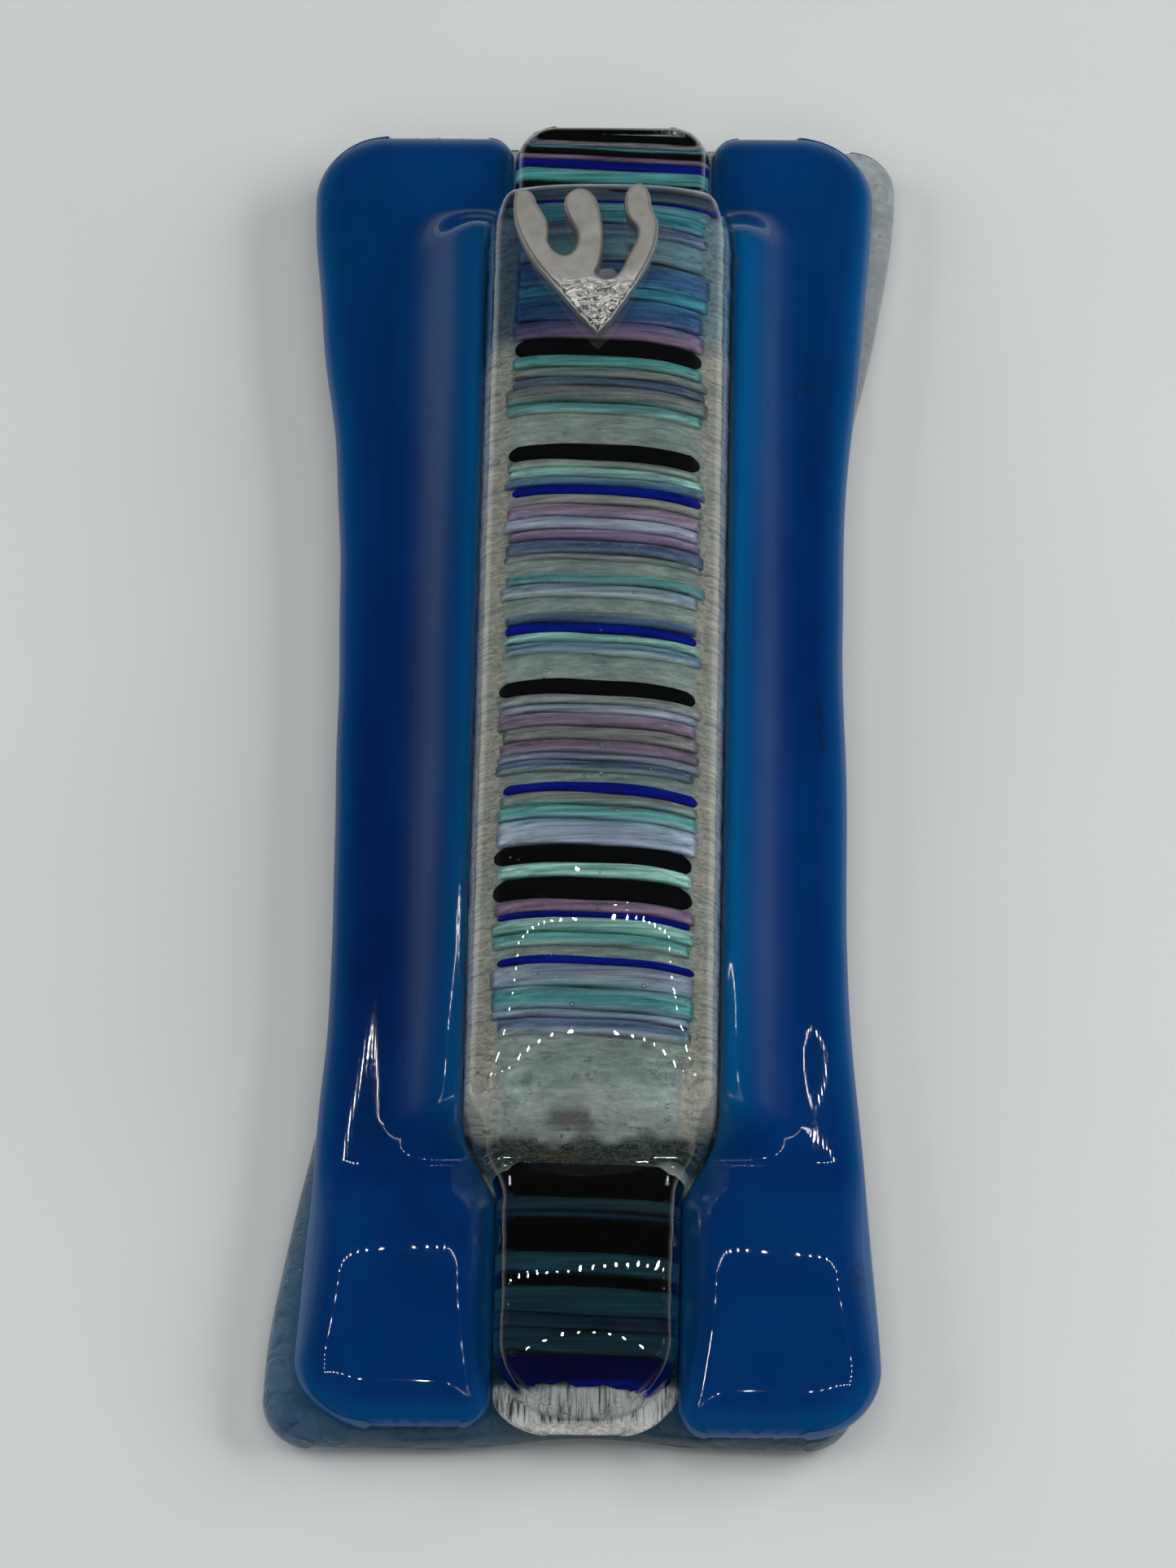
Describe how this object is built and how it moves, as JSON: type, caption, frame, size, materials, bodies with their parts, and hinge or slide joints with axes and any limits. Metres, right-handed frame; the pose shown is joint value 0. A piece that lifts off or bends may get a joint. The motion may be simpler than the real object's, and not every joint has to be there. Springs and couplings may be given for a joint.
{
  "type": "mezuzah case",
  "caption": "Slumped glass mezuzah case: blue wings, a barred silver strip over a hump, a cast letter, and a scroll in the open channel behind.",
  "frame": {"origin": "centre of the footprint, on the plane of the mounting tape's outer face, the case lying on its back", "axes": "+Y to the top of the case as it hangs, +X to the right seen from the front, +Z out of the front"},
  "size_m": [0.0574, 0.1406, 0.0189],
  "materials": {
    "clear_glass": "clear, fire-polished edges",
    "blue_glass": "opaque blue opal glass, glossy, with darker wisps",
    "silver_glass": "silver coated, crinkled by firing",
    "cap_clear_glass": "clear, glossy, a few bubbles",
    "black_glass": "opaque black glass, glossy",
    "cobalt_glass": "opaque cobalt glass, glossy",
    "teal_glass": "opaque teal glass, glossy",
    "seafoam_glass": "opaque seafoam glass, glossy",
    "mauve_glass": "opaque mauve glass, glossy",
    "slate_glass": "opaque slate glass, glossy",
    "taupe_glass": "opaque taupe glass, glossy",
    "lavender_glass": "opaque lavender glass, glossy",
    "pewter": "cast pewter, soft satin with a hammered tip",
    "clear_glue": "clear set glue",
    "parchment": "rolled skin, matte",
    "clear_sleeve": "clear thin tube",
    "foam_tape": "acrylic foam mounting tape"
  },
  "bodies": {
    "case": {"base_glass": "clear_glass", "blue_glass_left": "blue_glass", "blue_glass_right": "blue_glass", "silver_strip": "silver_glass", "cap_glass": "cap_clear_glass", "black_bars": "black_glass", "cobalt_bars": "cobalt_glass", "teal_bars": "teal_glass", "seafoam_bars": "seafoam_glass", "mauve_bars": "mauve_glass", "slate_bars": "slate_glass", "taupe_bars": "taupe_glass", "lavender_bars": "lavender_glass", "shin_letter": "pewter", "shin_adhesive": "clear_glue", "tape_pad_top": "foam_tape", "tape_pad_bottom": "foam_tape"},
    "scroll": {"scroll_parchment": "parchment", "scroll_sleeve": "clear_sleeve"}
  },
  "joints": [
    {"name": "scroll_lift", "type": "slide", "parent": "case", "child": "scroll", "axis": [0, 0, -1], "range_m": [0, 0.03]}
  ]
}
